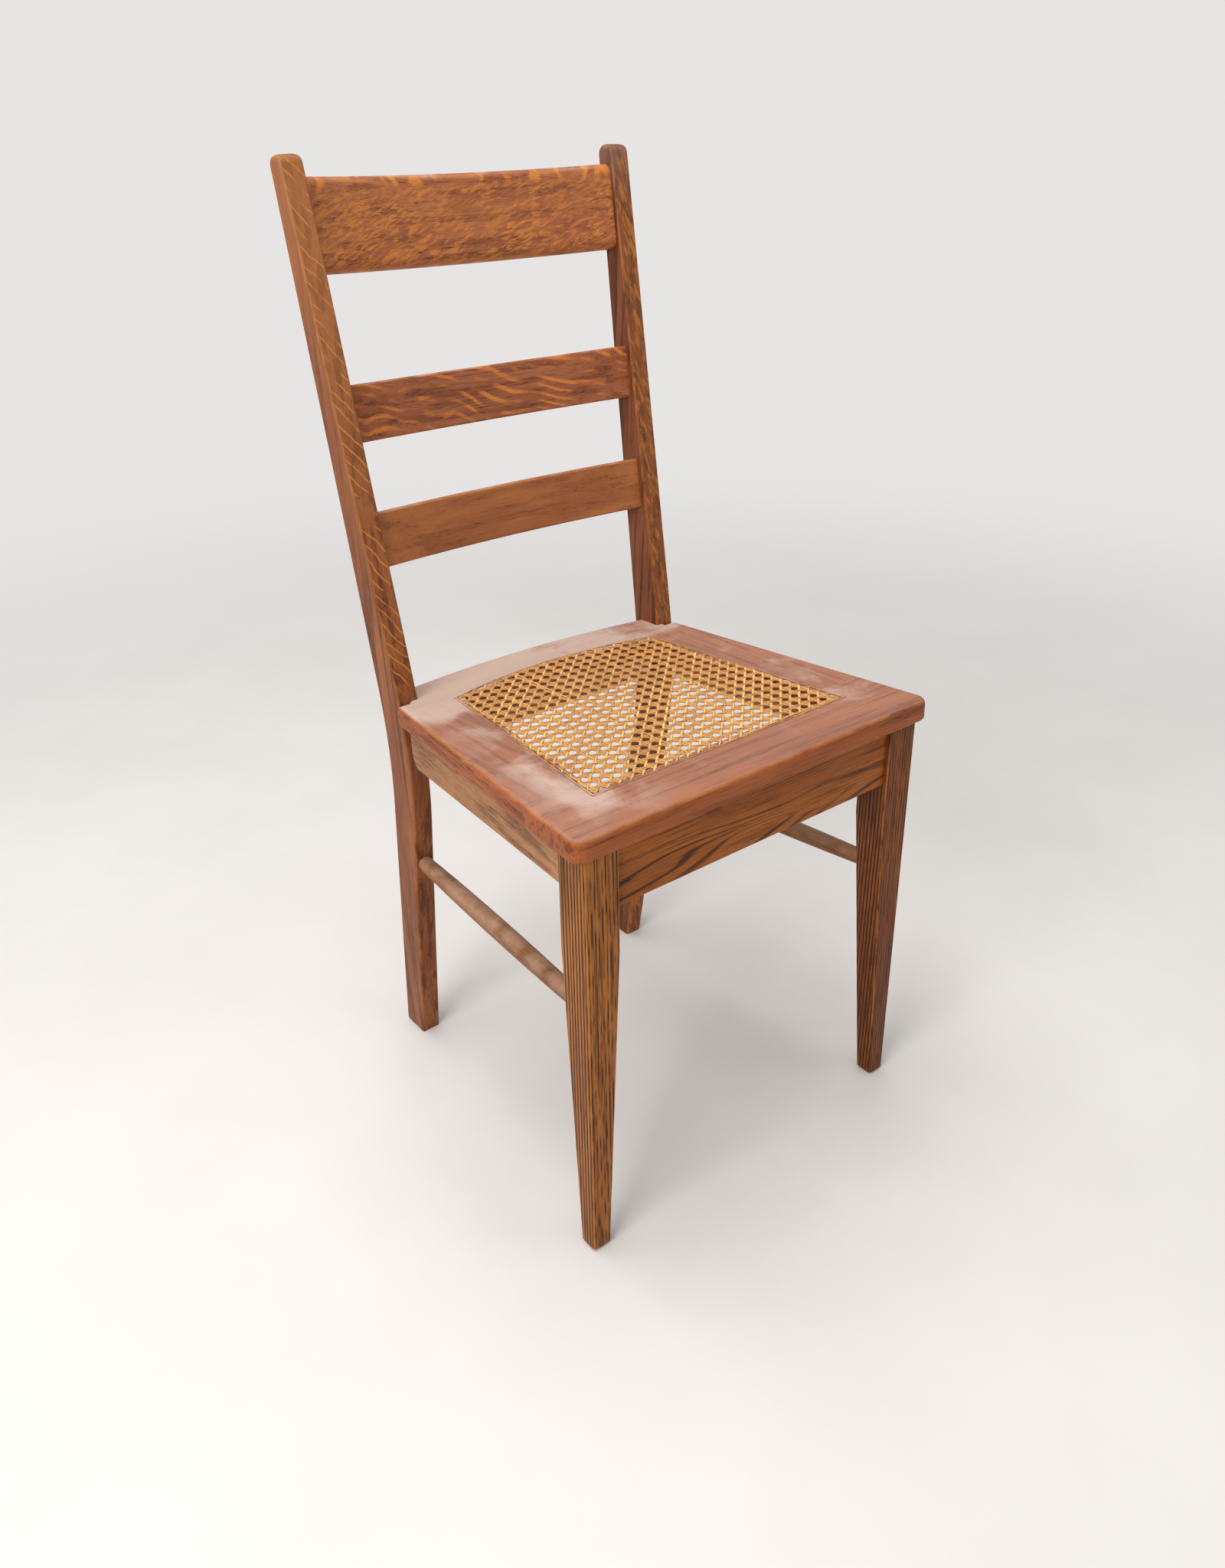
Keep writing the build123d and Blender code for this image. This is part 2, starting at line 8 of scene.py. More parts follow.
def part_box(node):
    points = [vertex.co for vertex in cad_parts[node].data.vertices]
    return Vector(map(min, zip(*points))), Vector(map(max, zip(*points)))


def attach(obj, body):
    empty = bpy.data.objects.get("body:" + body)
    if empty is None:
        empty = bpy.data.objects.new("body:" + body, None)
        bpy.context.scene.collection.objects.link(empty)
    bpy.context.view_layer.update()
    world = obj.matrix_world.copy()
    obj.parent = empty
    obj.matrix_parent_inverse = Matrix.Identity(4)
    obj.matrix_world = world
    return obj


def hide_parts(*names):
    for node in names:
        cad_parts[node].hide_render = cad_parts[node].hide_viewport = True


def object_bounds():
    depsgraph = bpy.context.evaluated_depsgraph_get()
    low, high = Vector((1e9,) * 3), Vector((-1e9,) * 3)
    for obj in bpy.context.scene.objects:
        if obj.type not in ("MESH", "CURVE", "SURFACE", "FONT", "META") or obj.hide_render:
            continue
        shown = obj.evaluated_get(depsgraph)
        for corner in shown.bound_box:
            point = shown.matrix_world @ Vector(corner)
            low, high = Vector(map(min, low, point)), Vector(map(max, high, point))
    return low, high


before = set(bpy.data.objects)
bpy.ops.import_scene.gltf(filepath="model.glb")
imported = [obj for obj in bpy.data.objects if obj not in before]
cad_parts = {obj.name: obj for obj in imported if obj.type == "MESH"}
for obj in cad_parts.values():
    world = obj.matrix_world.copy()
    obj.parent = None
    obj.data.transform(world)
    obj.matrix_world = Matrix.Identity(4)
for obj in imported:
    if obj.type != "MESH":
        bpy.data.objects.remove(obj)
cad_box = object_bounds()

MM = 0.001
CREST_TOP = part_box("crest_rail")[1][2]
POST_TOP = cad_box[1][2]

# The seat's top face, which slopes down to the back from its front edge
SEAT_HEIGHT = 450.0 * MM
SEAT_SLOPE = radians(2.15)
SEAT_FRONT = -233.41 * MM
SEAT_LEFT = -213.0 * MM
SEAT_TAPER = 0.094
SEAT_FACE = Matrix.Translation((0, SEAT_FRONT, SEAT_HEIGHT)) @ Matrix.Rotation(-SEAT_SLOPE, 4, "X")

# The cane opening inside the splines, measured on the seat's face back from its front edge
CANE_FRONT = 57.4 * MM
CANE_BACK = 313.6 * MM
CANE_FRONT_HALF = 150.4 * MM
CANE_BACK_HALF = 123.8 * MM
CANE_BOW = 18.0 * MM
BOW_CUTS = 9

# The weave: pairs of upright and crossing strands, and single diagonals between the holes
MESH_WIDE = 12.95 * MM
MESH_DEEP = 12.3 * MM
MESH_TURN = radians(1.4)
HALF_COLUMNS = 13
HALF_ROWS = 12
DIAGONAL = hypot(MESH_WIDE, MESH_DEEP)
DIAGONAL_TURN = asin(MESH_DEEP / DIAGONAL)
PAIR_GAP = 2.4 * MM
PAIR_WIDTH = 2.0 * MM
PAIR_RISE = 0.28 * MM
RISER_WIDTH = 2.4 * MM
FALLER_WIDTH = 1.1 * MM
DIAGONAL_RISE = 0.5 * MM
STRAND_THICK = 0.5 * MM
STRAND_CROWN = 0.18 * MM
CANE_LEVEL = 0.8 * MM
TUCK_RUN = 2.2 * MM
TUCK_DROP = 2.0 * MM

# Strands start longer than the opening, and are cut into steps fine enough for their waves
UPRIGHT_LENGTH, UPRIGHT_STEPS = 320.0 * MM, 120
CROSSING_LENGTH, CROSSING_STEPS = 340.0 * MM, 150
DIAGONAL_LENGTH, DIAGONAL_STEPS = 500.0 * MM, 140

# Shared finishes
PORE_STAIN = "331708"
# The pale dust colour, which on the seat and its reed also paints a sheen of reflected light.
DUST_AND_SHEEN_STAIN = "c9b1a2"
# How strongly the overlay is laid on the oak: dust on most pieces, painted light on the left post, and dust with a
# painted sheen on the seat.
DUST_AND_LIGHT_COVER = 0.78
RUBBED_EDGE = 40.0 * MM
DUSTY_END = 60.0 * MM
PORE_DEPTH = 0.25 * MM
REED_DEPTH = 0.2 * MM
CANE_DEPTH = 0.12 * MM
SEED_STEP = (0.37, 0.53, 0.71)
ACROSS_GRAIN = {"X": (0, 1, 1), "Y": (1, 0, 1), "Z": (1, 1, 0)}

# The studio
BACKGROUND = (0.80, 0.78, 0.77, 1.0)
STUDIO_AIR = (0.30, 0.30, 0.31, 1.0)
FLOOR_HALF = 30.0
FLOOR_FADES_FROM = 0.7
FLOOR_GONE_AT = 2.6

# The camera, at the photograph's place and angle, with its lens in pixels of the photograph
CAMERA_PLACE = (-697.55 * MM, -908.21 * MM, 954.18 * MM)
CAMERA_AZIMUTH = radians(-38.2147)
CAMERA_DOWN = radians(25.951)
CAMERA_ROLL = radians(-0.7401)
PICTURE_HEIGHT = 2048
FOCAL_PIXELS = 1647.748
SHIFT_PIXELS = (-10.22, -73.92)
SENSOR_HEIGHT = 36.0


def stain(code):
    """A colour written as hex digits, as linear light."""
    parts = [int(code[place:place + 2], 16) / 255 for place in (0, 2, 4)]
    return (*[part / 12.92 if part <= 0.04045 else ((part + 0.055) / 1.055) ** 2.4 for part in parts], 1.0)


class Value:
    """One output of a node, which Python's operators combine by adding Math nodes."""

    def __init__(self, socket):
        self.socket = socket
        self.tree = socket.id_data

    def node(self, kind, sockets, output=0, **settings):
        """A new node with its settings, and the values or links of its sockets."""
        made = self.tree.nodes.new(kind)
        for name, setting in settings.items():
            setattr(made, name, setting)
        for name, value in sockets.items():
            if isinstance(value, Value):
                self.tree.links.new(value.socket, made.inputs[name])
            else:
                made.inputs[name].default_value = value
        return Value(made.outputs[output])

    def maths(self, operation, *values):
        return self.node("ShaderNodeMath", dict(enumerate(values)), operation=operation)

    def __add__(self, other):
        return self.maths("ADD", self, other)

    __radd__ = __add__

    def __sub__(self, other):
        return self.maths("SUBTRACT", self, other)

    def __rsub__(self, other):
        return self.maths("SUBTRACT", other, self)

    def __mul__(self, other):
        return self.maths("MULTIPLY", self, other)

    __rmul__ = __mul__

    def __abs__(self):
        return self.maths("ABSOLUTE", self)

    def larger(self, other):
        return self.maths("MAXIMUM", self, other)

    def contours(self, count):
        """Waves that run from -1 to 1, a count of them as this value goes from 0 to 1."""
        return self.maths("SINE", self * (2 * pi * count))

    def split(self):
        """The three parts of these coordinates or of a direction."""
        parts = self.node("ShaderNodeSeparateXYZ", {0: self}).socket.node
        return [Value(output) for output in parts.outputs]

    def between(self, low, high):
        """0 below the low value, 1 above the high one, smooth between."""
        return self.node(
            "ShaderNodeMapRange", {"Value": self, "From Min": low, "From Max": high},
            interpolation_type="SMOOTHSTEP",
        )

    def pick(self, first, second):
        """The first colour where this value is 0 and the second where it is 1."""
        return self.node("ShaderNodeMix", {0: self, 6: first, 7: second}, output=2, data_type="RGBA")

    def moved(self, shift=(0, 0, 0), turn=(0, 0, 0), stretch=(1, 1, 1)):
        """Coordinates turned, stretched and shifted."""
        return self.node("ShaderNodeMapping", {"Vector": self, "Location": shift, "Rotation": turn, "Scale": stretch})

    def cloud(self, scale, detail=2.0, rough=0.5, warp=0.0):
        """Noise on these coordinates."""
        return self.node(
            "ShaderNodeTexNoise",
            {"Vector": self, "Scale": scale, "Detail": detail, "Roughness": rough, "Distortion": warp},
        )

    def specks(self, stretch, detail=2.0, rough=0.5, warp=0.0):
        """Noise with a scale of its own along each axis."""
        return self.moved(stretch=stretch).cloud(1.0, detail, rough, warp)

    def fibres(self, grain, across, along, detail=2.0, rough=0.5, warp=0.0):
        """Noise drawn out along the grain, with one scale across it and one along it."""
        return self.specks([across if crosses else along for crosses in ACROSS_GRAIN[grain]], detail, rough, warp)

    def ripple(self, scale, warp, detail=2.0, fine=1.0):
        """Wavy bands across the first of these coordinates."""
        return self.node(
            "ShaderNodeTexWave",
            {"Vector": self, "Scale": scale, "Distortion": warp, "Detail": detail, "Detail Scale": fine},
            output=1, wave_type="BANDS", bands_direction="X", wave_profile="SIN",
        )


class Finish:
    """A new material with its shader, its coordinates and the direction that each surface faces."""

    def __init__(self, name):
        self.material = bpy.data.materials.new(name)
        self.material.use_nodes = True
        self.tree = self.material.node_tree
        self.shader = self.tree.nodes["Principled BSDF"]
        self.place = Value(self.tree.nodes.new("ShaderNodeTexCoord").outputs["Object"])
        self.facing = Value(self.tree.nodes.new("ShaderNodeNewGeometry").outputs["Normal"])

    def set(self, **sockets):
        """Values or links of the shader's sockets, with _ for a space in a socket's name."""
        for name, value in sockets.items():
            socket = self.shader.inputs[name.replace("_", " ")]
            if isinstance(value, Value):
                self.tree.links.new(value.socket, socket)
            else:
                socket.default_value = value

    def relief(self, height, depth):
        """Bump from a height that runs from 0 to 1."""
        self.set(Normal=height.node("ShaderNodeBump", {"Strength": 1.0, "Distance": depth, "Height": height}))


# Rays in the oak, and painted light on the right post's front face, which take the finish's coordinates, the parts of
# its facing and the height above the floor
def crest_flakes(place, sides, height):
    """Short wavy rays that climb to the right over the crest's face and hook over its rounded top."""
    climbing = place.moved(turn=(0, radians(20), 0))
    streaks = climbing.specks((58, 58, 265), detail=3.0, rough=0.55, warp=1.1)
    patches = place.specks((20, 20, 34), detail=1.0)
    rays = streaks.between(0.42, 0.66) * patches.between(0.12, 0.46)
    bent = place.moved(turn=(0, radians(-20), 0)).ripple(15.0, 9.0, fine=2.0)
    gaps = place.specks((40, 40, 40), detail=1.0)
    hooks = bent.between(0.45, 0.95) * gaps.between(0.36, 0.55)
    top = height.between(CREST_TOP - 17 * MM, CREST_TOP - 9 * MM)
    return rays * (1 - top) + hooks * top


def slat_flakes(place, sides, height):
    """Long wavy rays that sink and level out along the slat."""
    sinking = place.moved(turn=(0, radians(74), 0))
    rays = sinking.ripple(31.0, 11.0, detail=1.6, fine=0.5)
    patches = place.specks((30, 30, 70), detail=1.5)
    return rays.between(0.52, 0.96) * patches.between(0.40, 0.64)


def post_flakes(place, sides, height):
    """Thin parallel rays across the post's front face above the seat, falling to the right."""
    falling = place.moved(turn=(0, radians(40), 0))
    ticks = falling.ripple(33.0, 4.0, fine=0.8)
    patches = place.specks((60, 60, 30), detail=1.0)
    front = abs(sides[1]).between(0.6, 0.9) * height.between(0.44, 0.47)
    return ticks.between(0.925, 0.995) * patches.between(0.34, 0.50) * front


def flecks_and_painted_light(place, sides, height):
    """Wavy flecks that run steeply along the grain of the post's front face, over a painted light that lifts the
    whole front face above the shaded inner face.
    """
    steep = place.moved(turn=(0, radians(12), 0))
    flecks = steep.specks((240, 240, 26), detail=1.5, warp=0.8)
    front = abs(sides[1]).between(0.5, 0.9)
    # Painted light: the 0.25 lifts the whole front face as if lit while the inner face stays in shade; the flecks
    # above it are the oak's own figure.
    return front * (0.25 + flecks.between(0.50, 0.62) * 0.75)


# Year lines in the oak
def even_rings(place, grain, sides):
    """Close soft year lines."""
    return place.fibres(grain, 150, 3.5, rough=0.55, warp=0.15).between(0.49, 0.62)


def leg_rings(place, grain, sides):
    """Straight dark year lines about four millimetres apart, whole on a leg's flanks and broken on its front."""
    drawn = place.moved(turn=(0, 0, radians(42)), stretch=(1, 1, 0.05))
    lines = drawn.ripple(112.0, 2.4, fine=0.4)
    strength = place.fibres(grain, 60, 5)
    broken = place.fibres(grain, 500, 42)
    whole = (broken + abs(sides[0]).between(0.5, 0.9) * 0.3).between(0.38, 0.58)
    return lines.between(0.5, 0.82) * strength.between(0.02, 0.36) * whole


def flame_rings(place, grain, sides):
    """Flowing dark flames of flat-sawn oak."""
    flow = place.fibres(grain, 19, 2.3, detail=1.8, rough=0.4, warp=0.3)
    strength = place.fibres(grain, 34, 5)
    return flow.contours(11).between(0.25, 0.98) * strength.between(0.37, 0.63)


# Dust over the oak, with painted light on a post and a painted sheen on the seat
def seat_dust_and_sheen(place, sides):
    """A pale dust on the seat that thickens to the left and the back, with patches and edges rubbed clean, and that
    also paints the sheen reflected off the seat's top from behind.
    """
    across, back, _ = place.split()
    behind = back.between(0.03, 0.10) * (0.34 - across * 0.9)
    beside = 0.13 - across.between(-0.19, -0.06) * 0.13
    patches = place.cloud(17.0, detail=5.0, rough=0.6, warp=0.4)
    from_front = back - SEAT_FRONT
    from_left = across - SEAT_LEFT - from_front * SEAT_TAPER + back.between(0.02, 0.09) * RUBBED_EDGE
    kept = from_left.between(0.2 * RUBBED_EDGE, RUBBED_EDGE) * from_front.between(0.2 * RUBBED_EDGE, RUBBED_EDGE)
    dust_and_painted_light = 0.21 + (patches + behind + beside).between(0.51, 0.79) * (0.16 + kept * 0.63)
    return dust_and_painted_light * sides[2].between(0.55, 0.95)


def rung_dust(place, sides):
    """Dust along the upper side of a stretcher."""
    patches = place.cloud(30.0, detail=4.0, rough=0.65)
    return patches.between(0.25, 0.7) * sides[2].between(-0.3, 0.8) * 0.8


def rail_dust(place, sides):
    """A trace of dust on upward edges."""
    return place.cloud(40.0, detail=3.0).between(0.45, 0.7) * sides[2].between(0.6, 0.95) * 0.5


def end_dust(place, sides):
    """A grey bloom on a post's upper end."""
    return place.split()[2].between(POST_TOP - DUSTY_END, POST_TOP) * 0.5


def post_painted_light(place, sides):
    """Painted light on a post: a warm tone that pales its upper half, most on its front face, where the light falls.
    """
    return place.split()[2].between(0.45, 0.95) * (0.3 + abs(sides[1]).between(0.5, 0.9) * 0.2)


def oak(name, grain, seed, deep, brown, pale, rings=even_rings, flakes_and_light=None, flake_and_light_stain=None, flake_show=0.8,
        lines=0.5, pores=0.6, wear=0.5, dust_and_light_mask=rail_dust, dust_and_light_stain=DUST_AND_SHEEN_STAIN):
    """Stained oak with its grain along one axis, edges rubbed pale, and an overlay of dust, which on the left post is
    painted light and on the seat carries a painted sheen.
    """
    finish = Finish(name)
    sides = finish.facing.split()
    place = finish.place.moved(shift=[seed * step for step in SEED_STEP])
    drift = place.fibres(grain, 30, 6, detail=3.0, rough=0.6, warp=0.3)
    years = rings(place, grain, sides)
    hairs = place.fibres(grain, 640, 11, detail=3.0, rough=0.65)
    pits = place.fibres(grain, 1150, 60, detail=1.0).between(0.57, 0.67) * (0.35 + years * 0.65)
    colour = drift.between(0.32, 0.68).pick(stain(brown), stain(pale))
    colour = (years * lines).pick(colour, stain(deep))
    colour = (hairs.between(0.48, 0.68) * (lines * 0.85)).pick(colour, stain(deep))
    rough = 0.38 + drift * 0.12 + pits * 0.2
    height = 0.7 - pits * 0.5 - hairs.between(0.45, 0.8) * 0.25
    if flakes_and_light:
        rays = flakes_and_light(place, sides, finish.place.split()[2])
        colour = (rays * flake_show).pick(colour, stain(flake_and_light_stain))
        rough = rough - rays * 0.08
        height = height + rays * 0.2
    colour = (pits * pores).pick(colour, stain(PORE_STAIN))
    square = abs(sides[0]).larger(abs(sides[1])).larger(abs(sides[2]))
    rubbed = (1 - square.between(0.78, 0.965)) * place.cloud(38.0, detail=3.0).between(0.38, 0.62)
    colour = (rubbed * wear).pick(colour, stain("b5713a"))
    # The overlay: dust on most pieces, painted light on the left post, and dust with a painted sheen on the seat
    # boards.
    dust_and_painted_light = dust_and_light_mask(finish.place, sides)
    colour = (dust_and_painted_light * DUST_AND_LIGHT_COVER).pick(colour, stain(dust_and_light_stain))
    rough = rough + dust_and_painted_light * 0.22
    finish.set(Base_Color=colour, Roughness=rough)
    finish.set(Specular_IOR_Level=0.15, Coat_Weight=0.03, Coat_Roughness=0.25)
    finish.relief(height, PORE_DEPTH)
    return finish.material


def cane_finish(name, turn, tone_and_painted_light):
    """Shiny golden cane whose skin is streaked along the strand, with painted shade darkening the strand's sides."""
    finish = Finish(name)
    run = finish.place.moved(turn=(0, 0, -turn))
    skin = run.specks((14, 820, 820), detail=3.0, rough=0.6)
    tint = run.specks((5, 210, 60), detail=1.0)
    stains = finish.place.cloud(32.0, detail=3.0, rough=0.6)
    # Painted shade: the strands' steep sides are darkened as if in their own shadow.
    edge = 1 - abs(finish.facing.split()[2]).between(0.55, 0.97)
    colour = tint.between(0.3, 0.7).pick(stain("c48b4e"), stain(tone_and_painted_light))
    colour = (skin.between(0.45, 0.75) * 0.45).pick(colour, stain("9a6434"))
    colour = (stains.between(0.5, 0.75) * 0.4).pick(colour, stain("a4703c"))
    colour = (edge * 0.65).pick(colour, stain("6e4320"))
    finish.set(Base_Color=colour, Roughness=0.34 + skin * 0.2, Specular_IOR_Level=0.35)
    finish.relief(skin, CANE_DEPTH)
    return finish.material


def reed_finish():
    """Brown reed, dark in its pores, dirty along the groove and dusty as the seat is, with the seat's painted sheen.
    """
    finish = Finish("reed")
    fibres = finish.place.specks((160, 160, 160), detail=4.0, rough=0.65)
    dirt = finish.place.cloud(60.0, detail=3.0).between(0.42, 0.64)
    dust_and_painted_light = seat_dust_and_sheen(finish.place, finish.facing.split())
    colour = fibres.between(0.35, 0.7).pick(stain("7a4a26"), stain("a8703f"))
    colour = (dirt * 0.5).pick(colour, stain("55331b"))
    colour = (dust_and_painted_light * 0.7).pick(colour, stain(DUST_AND_SHEEN_STAIN))
    finish.set(Base_Color=colour, Roughness=0.5 + dirt * 0.2 + dust_and_painted_light * 0.1)
    finish.relief(fibres, REED_DEPTH)
    return finish.material


def bare_oak(name, grain):
    """Unfinished oak on the hidden blocks and pins."""
    finish = Finish(name)
    bands = finish.place.fibres(grain, 260, 6, detail=3.0, rough=0.6)
    pits = finish.place.fibres(grain, 1200, 80, detail=1.0).between(0.6, 0.72)
    colour = bands.between(0.3, 0.7).pick(stain("b98a58"), stain("8f6236"))
    colour = (pits * 0.6).pick(colour, stain("5a3a1e"))
    finish.set(Base_Color=colour, Roughness=0.62 + pits * 0.15)
    finish.relief(1 - pits, PORE_DEPTH)
    return finish.material


def wear_finish(node, material):
    """The material on every slot of a CAD node."""
    thing = bpy.data.objects[node]
    if not thing.material_slots:
        thing.data.materials.append(material)
    for slot in thing.material_slots:
        slot.material = material


# Stained oak, piece by piece: the grain's axis, a seed, and the deep, brown and pale stains
wear_finish("crest_rail", oak(
    "crest_oak", "X", 1, "5f321f", "955536", "a7663f",
    flakes_and_light=crest_flakes, flake_and_light_stain="cc7e35", flake_show=0.7, lines=0.4))
wear_finish("upper_slat", oak(
    "upper_slat_oak", "X", 2, "5a2f1d", "8d4f30", "9d5e3b",
    flakes_and_light=slat_flakes, flake_and_light_stain="cf7a31", flake_show=0.76))
wear_finish("lower_slat", oak(
    "lower_slat_oak", "X", 3, "6e3e20", "8f532f", "aa6a3a", lines=0.25, pores=0.45))
# On the left post the overlay is painted light, in a warm stain, falling on the upper half and most on the front
# face; it is not dust.
wear_finish("left_back_post", oak(
    "left_post_oak", "Z", 4, "4e2611", "7f4525", "955a34",
    flakes_and_light=post_flakes, flake_and_light_stain="d2862f", flake_show=0.75, lines=0.62, wear=0.3,
    dust_and_light_mask=post_painted_light, dust_and_light_stain="be7f4c"))
# The right post's front face is painted lighter than its shaded inner face; its flake stain carries that painted
# light as well as the flecks.
wear_finish("right_back_post", oak(
    "right_post_oak", "Z", 5, "38190b", "6f3a20", "80492a",
    flakes_and_light=flecks_and_painted_light, flake_and_light_stain="bd742b", flake_show=0.66, lines=0.66, wear=0.25,
    dust_and_light_mask=end_dust, dust_and_light_stain="7c655c"))
wear_finish("left_front_leg", oak(
    "left_leg_oak", "Z", 6, "301405", "945521", "aa6a2e", rings=leg_rings, lines=0.94, pores=0.8))
wear_finish("right_front_leg", oak(
    "right_leg_oak", "Z", 7, "2c1205", "723911", "864919", rings=leg_rings, lines=0.95, pores=0.8, wear=0.4))
wear_finish("front_apron", oak(
    "front_apron_oak", "X", 8, "3e1a08", "8c4a16", "a05a1e", rings=flame_rings, lines=0.92, pores=0.7, wear=0.4))
for apron, grain, seed in (("left_apron", "Y", 9), ("right_apron", "Y", 10), ("back_apron", "X", 11)):
    wear_finish(apron, oak(apron + "_oak", grain, seed, "673d26", "966541", "aa7950", lines=0.6))
for rung, seed in (("left_stretcher", 12), ("right_stretcher", 13)):
    wear_finish(rung, oak(
        rung + "_oak", "Y", seed, "55321a", "7d4c27", "8e5d35", wear=0.0, dust_and_light_mask=rung_dust, dust_and_light_stain="bd9c84"))
# The seat boards' overlay is dust together with a painted sheen reflected off their tops from behind.
for board, grain, seed in (
        ("seat_front", "X", 14), ("seat_right", "Y", 15), ("seat_left", "Y", 16), ("seat_back", "X", 17)):
    wear_finish(board + "_board", oak(
        board + "_oak", grain, seed, "5c2a12", "904b25", "9f592f", lines=0.55, dust_and_light_mask=seat_dust_and_sheen))

# Bare oak and reed
wear_finish("seat_dowels", bare_oak("dowel_oak", "Y"))
for block in ("left_corner_block", "right_corner_block"):
    wear_finish(block, bare_oak(block + "_oak", "X"))
reed = reed_finish()
for side in ("front", "back", "left", "right"):
    wear_finish(side + "_spline", reed)


def new_piece(name, shape, finish):
    """An object in the scene with the shape of a bmesh, which is freed."""
    mesh = bpy.data.meshes.new(name)
    shape.to_mesh(mesh)
    shape.free()
    mesh.materials.append(finish)
    piece = bpy.data.objects.new(name, mesh)
    bpy.context.scene.collection.objects.link(piece)
    return piece


# The woven cane
def upright_wave(run):
    """Over one crossing pair and under the next."""
    return PAIR_RISE * sin(pi * run / MESH_DEEP)


def crossing_wave(run):
    """Over one strand of each upright pair and under the other."""
    return PAIR_RISE * (-1) ** floor(run / MESH_WIDE) * sin(2 * pi * (run / MESH_WIDE - 0.5))


def diagonal_wave(run):
    """Over each upright pair and under each crossing pair."""
    return DIAGONAL_RISE * cos(2 * pi * run / DIAGONAL)


def strand(cane, middle, turn, length, width, steps, wave, hand):
    """One flat strand with a crowned face, waved up and down along its run."""
    made = bmesh.ops.create_grid(cane, x_segments=steps, y_segments=2, size=0.5)
    for vert in made["verts"]:
        run = vert.co.x * length
        vert.co = (run, vert.co.y * width, hand * wave(run) + STRAND_CROWN * (1 - 2 * abs(vert.co.y)))
    place = Matrix.Translation((*middle, CANE_LEVEL)) @ Matrix.Rotation(turn, 4, "Z")
    bmesh.ops.transform(cane, matrix=place, verts=made["verts"])


def cane_edges(inset):
    """A point on each edge of the cane opening, drawn in by an inset, and the direction out of it."""
    lean = (CANE_FRONT_HALF - CANE_BACK_HALF) / (CANE_BACK - CANE_FRONT)
    out = Vector((1, lean, 0)).normalized()
    corner = Vector((CANE_FRONT_HALF, CANE_FRONT, 0)) - out * inset
    left_out = Vector((-out.x, out.y, 0))
    left_corner = Vector((-corner.x, corner.y, 0))
    edges = [(Vector((0, CANE_FRONT + inset, 0)), Vector((0, -1, 0))), (corner, out), (left_corner, left_out)]
    radius = (CANE_BACK_HALF ** 2 + CANE_BOW ** 2) / (2 * CANE_BOW)
    hub = Vector((0, CANE_BACK + CANE_BOW - radius, 0))
    for cut in range(BOW_CUTS):
        angle = asin(CANE_BACK_HALF / radius) * (2 * cut / (BOW_CUTS - 1) - 1)
        back_out = Vector((sin(angle), cos(angle), 0))
        edges.append((hub + back_out * (radius - inset), back_out))
    return edges


def lay_cane(name, cane, finish):
    """Trim a set of strands to the opening, tuck their ends into the groove and lay them on the seat."""
    centre = Vector((0, (CANE_FRONT + CANE_BACK) / 2, 0))
    bmesh.ops.transform(
        cane, matrix=Matrix.Translation(centre) @ Matrix.Rotation(MESH_TURN, 4, "Z"), verts=cane.verts)
    tucks = cane_edges(TUCK_RUN)
    for edges, trim in ((cane_edges(0), True), (tucks, False)):
        for point, out in edges:
            geometry = cane.verts[:] + cane.edges[:] + cane.faces[:]
            bmesh.ops.bisect_plane(cane, geom=geometry, plane_co=point, plane_no=out, clear_outer=trim)
    for vert in cane.verts:
        past = max((vert.co - point).dot(out) for point, out in tucks)
        if past > 0:
            vert.co.z -= TUCK_DROP * (past / TUCK_RUN) ** 2
    bmesh.ops.recalc_face_normals(cane, faces=cane.faces)
    bmesh.ops.solidify(cane, geom=cane.faces[:], thickness=STRAND_THICK)
    bmesh.ops.transform(cane, matrix=SEAT_FACE, verts=cane.verts)
    piece = new_piece(name, cane, finish)
    piece.data.shade_smooth()
    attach(piece, "root")
    return piece


uprights, crossings, risers, fallers = [bmesh.new() for _ in range(4)]
for column in range(-HALF_COLUMNS, HALF_COLUMNS):
    for side in (-1, 1):
        middle = ((column + 0.5) * MESH_WIDE + side * PAIR_GAP / 2, 0)
        strand(
            uprights, middle, pi / 2, UPRIGHT_LENGTH, PAIR_WIDTH, UPRIGHT_STEPS,
            upright_wave, side * (-1) ** column)
for row in range(-HALF_ROWS, HALF_ROWS):
    for side in (-1, 1):
        middle = (0, (row + 0.5) * MESH_DEEP + side * PAIR_GAP / 2)
        strand(crossings, middle, 0, CROSSING_LENGTH, PAIR_WIDTH, CROSSING_STEPS, crossing_wave, (-1) ** row)
for row in range(-HALF_COLUMNS - HALF_ROWS, HALF_COLUMNS + HALF_ROWS):
    middle = ((row + 0.5) * MESH_WIDE, 0)
    for cane, width, hand in ((risers, RISER_WIDTH, 1), (fallers, FALLER_WIDTH, -1)):
        strand(cane, middle, hand * DIAGONAL_TURN, DIAGONAL_LENGTH, width, DIAGONAL_STEPS, diagonal_wave, hand)

# The risers, which lie on top, get a paler tone as painted light, and the fallers, which lie underneath, a darker
# tone as painted shade; the uprights and crossings carry the cane's own tone.
upright_cane = lay_cane("cane_uprights", uprights, cane_finish("upright_cane", pi / 2, "e8a85c"))
lay_cane("cane_crossings", crossings, cane_finish("crossing_cane", 0, "e4a357"))
lay_cane("cane_risers", risers, cane_finish("rising_cane", DIAGONAL_TURN, "fccb7d"))
lay_cane("cane_fallers", fallers, cane_finish("falling_cane", -DIAGONAL_TURN, "d29750"))
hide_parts("cane_panel")


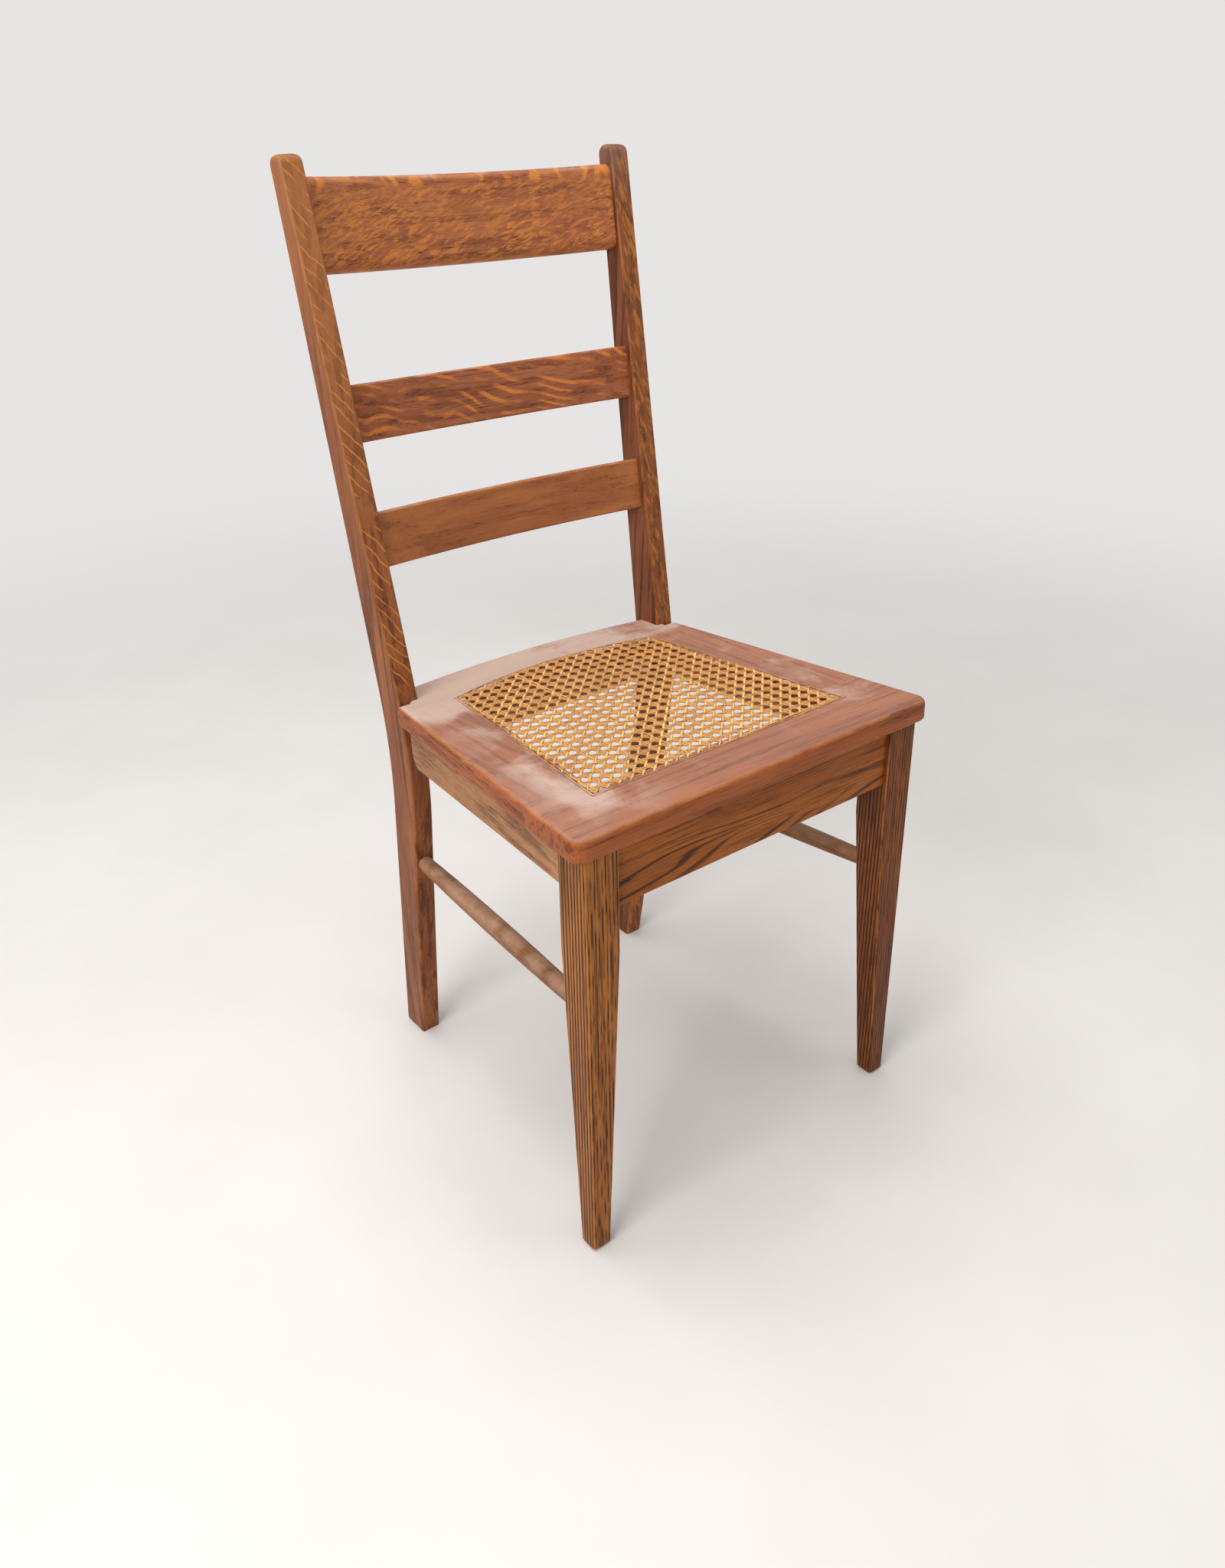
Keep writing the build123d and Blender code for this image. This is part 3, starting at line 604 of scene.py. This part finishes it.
# The floor, which takes the chair's shadow and runs out into an even pale background
def seen_rays(tree):
    """1 for what the camera sees itself, in a reflection or through glass."""
    rays = tree.nodes.new("ShaderNodeLightPath")
    direct, mirrored, through = [
        Value(rays.outputs[name]) for name in ("Is Camera Ray", "Is Glossy Ray", "Is Transmission Ray")]
    return direct.larger(mirrored).larger(through)


pale_floor = Finish("pale_floor")
scuffs = pale_floor.place.cloud(3.0, detail=4.0, rough=0.6)
floor_colour = scuffs.between(0.2, 0.8).pick(stain("dcd8d2"), stain("e4e0db"))
pale_floor.set(Base_Color=floor_colour, Roughness=0.6 + scuffs * 0.1)
reach = pale_floor.place.node("ShaderNodeVectorMath", {0: pale_floor.place}, output="Value", operation="LENGTH")
faded = reach.between(FLOOR_FADES_FROM, FLOOR_GONE_AT) * seen_rays(pale_floor.tree)
glow = faded.node("ShaderNodeEmission", {"Color": BACKGROUND, "Strength": 1.0})
floor_shade = faded.node("ShaderNodeMixShader", {0: faded, 1: Value(pale_floor.shader.outputs[0]), 2: glow})
pale_floor.tree.links.new(floor_shade.socket, pale_floor.tree.nodes["Material Output"].inputs["Surface"])
ground = bmesh.new()
bmesh.ops.create_grid(ground, x_segments=1, y_segments=1, size=FLOOR_HALF)
floor_piece = new_piece("floor", ground, pale_floor.material)


# Soft studio light from the left and from above
def lamp(name, spot, aim, size, power):
    """A large square soft box that points at a spot on the chair."""
    light = bpy.data.lights.new(name, "AREA")
    light.shape = "SQUARE"
    light.size = size
    light.energy = power
    holder = bpy.data.objects.new(name, light)
    holder.location = spot
    holder.rotation_euler = (Vector(aim) - Vector(spot)).to_track_quat("-Z", "Y").to_euler()
    bpy.context.scene.collection.objects.link(holder)


lamp("left_box", spot=(-2.6, -0.9, 1.9), aim=(0, 0, 0.5), size=1.6, power=66)
lamp("top_box", spot=(-0.3, 0.3, 2.8), aim=(0, 0, 0.4), size=2.0, power=55)
lamp("right_box", spot=(1.6, -2.6, 1.4), aim=(0, 0, 0.4), size=2.0, power=14)

world = bpy.data.worlds.new("studio")
bpy.context.scene.world = world
world.use_nodes = True
shown = seen_rays(world.node_tree).pick(STUDIO_AIR, BACKGROUND)
world.node_tree.links.new(shown.socket, world.node_tree.nodes["Background"].inputs["Color"])

# The camera
lens = bpy.data.cameras.new("camera")
lens.sensor_fit = "VERTICAL"
lens.sensor_height = SENSOR_HEIGHT
lens.lens = FOCAL_PIXELS * SENSOR_HEIGHT / PICTURE_HEIGHT
lens.shift_x, lens.shift_y = [shift / PICTURE_HEIGHT for shift in SHIFT_PIXELS]
ahead = Vector((
    -sin(CAMERA_AZIMUTH) * cos(CAMERA_DOWN), cos(CAMERA_AZIMUTH) * cos(CAMERA_DOWN), -sin(CAMERA_DOWN)))
level = Vector((cos(CAMERA_AZIMUTH), sin(CAMERA_AZIMUTH), 0))
rise = level.cross(ahead)
right = level * cos(CAMERA_ROLL) + rise * sin(CAMERA_ROLL)
upward = rise * cos(CAMERA_ROLL) - level * sin(CAMERA_ROLL)
camera = bpy.data.objects.new("camera", lens)
camera.matrix_world = Matrix.Translation(CAMERA_PLACE) @ Matrix((right, upward, -ahead)).transposed().to_4x4()
bpy.context.scene.collection.objects.link(camera)
bpy.context.scene.camera = camera
bpy.context.scene.view_settings.view_transform = "Standard"
